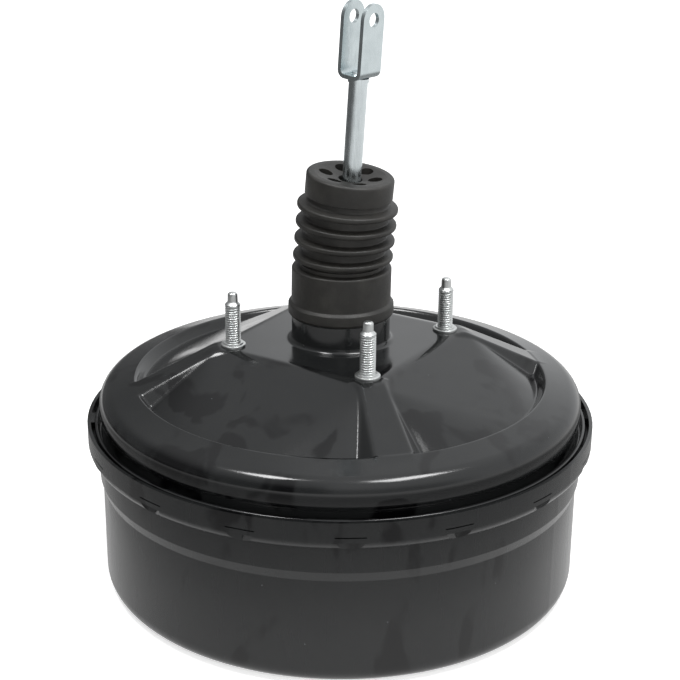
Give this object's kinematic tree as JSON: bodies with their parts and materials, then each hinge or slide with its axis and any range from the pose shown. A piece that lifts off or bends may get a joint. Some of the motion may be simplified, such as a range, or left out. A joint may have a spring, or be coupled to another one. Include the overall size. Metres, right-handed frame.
{
  "type": "vacuum brake booster",
  "caption": "Drum-shaped vacuum brake booster with crimped black shells, bellows dust boot, leaning input rod with clevis fork, and studs on both faces.",
  "frame": {"origin": "centre of the flat ring on the front shell's face, on which the part stands", "axes": "+Z along the booster's axis towards the pedal; X and Y parallel to the sides of the square of mounting studs, the input rod leans towards +X"},
  "size_m": [0.2648, 0.2648, 0.3043],
  "materials": {
    "black_paint": "gloss, over pressed steel",
    "zinc_plate": "satin zinc plating",
    "steel": "bare, oiled",
    "boot_rubber": "matte",
    "seal_rubber": "satin",
    "phenolic": "moulded",
    "nylon": "moulded",
    "felt": "soft"
  },
  "bodies": {
    "housing": {"front_shell": "black_paint", "rear_shell": "black_paint", "mounting_studs": "zinc_plate", "master_cylinder_studs": "zinc_plate", "stud_plate": "steel", "front_plate": "steel", "front_seal": "seal_rubber", "front_seal_retainer": "nylon", "rear_bearing": "nylon", "rear_seal": "seal_rubber", "seal_retainer": "steel", "vacuum_grommet": "seal_rubber", "check_valve_body": "nylon", "check_valve_cap": "nylon", "check_valve_spring": "steel", "diaphragm_rim": "seal_rubber", "return_spring": "steel", "dust_boot": "boot_rubber"},
    "power_piston": {"valve_body": "phenolic", "diaphragm_plate": "steel", "diaphragm": "seal_rubber", "reaction_disc": "seal_rubber", "output_rod": "steel", "output_rod_tip": "steel", "output_rod_retainer": "steel", "poppet_valve": "seal_rubber", "poppet_retainer": "steel", "poppet_spring": "steel", "silencer": "felt", "air_filter": "felt", "stop_key": "steel", "input_return_spring": "steel"},
    "plunger": {"valve_plunger": "steel"},
    "input_link": {"input_rod": "zinc_plate", "spring_seat": "steel", "clevis_fork": "zinc_plate"},
    "check_disc": {"check_valve_disc": "seal_rubber"}
  },
  "joints": [
    {"name": "piston_stroke", "type": "slide", "parent": "housing", "child": "power_piston", "axis": [0, 0, -1], "range_m": [0, 0.032], "stiffness_N_per_m": 2500, "springref_m": -0.06, "deforming": ["return_spring", "dust_boot"]},
    {"name": "plunger_travel", "type": "slide", "parent": "power_piston", "child": "plunger", "axis": [0, 0, -1], "range_m": [0, 0.002], "stiffness_N_per_m": 1500, "springref_m": -0.02, "deforming": ["input_return_spring"]},
    {"name": "rod_ball_pivot", "type": "hinge", "parent": "plunger", "child": "input_link", "pos_m": [0, 0, 0.128], "axis": [1, 0, 0], "range_deg": [-2.5, 2.5], "stiffness_Nm_per_rad": 2},
    {"name": "check_valve_lift", "type": "slide", "parent": "housing", "child": "check_disc", "axis": [0, 0, -1], "range_m": [0, 0.0015], "stiffness_N_per_m": 60, "springref_m": -0.004, "deforming": ["check_valve_spring"]}
  ]
}
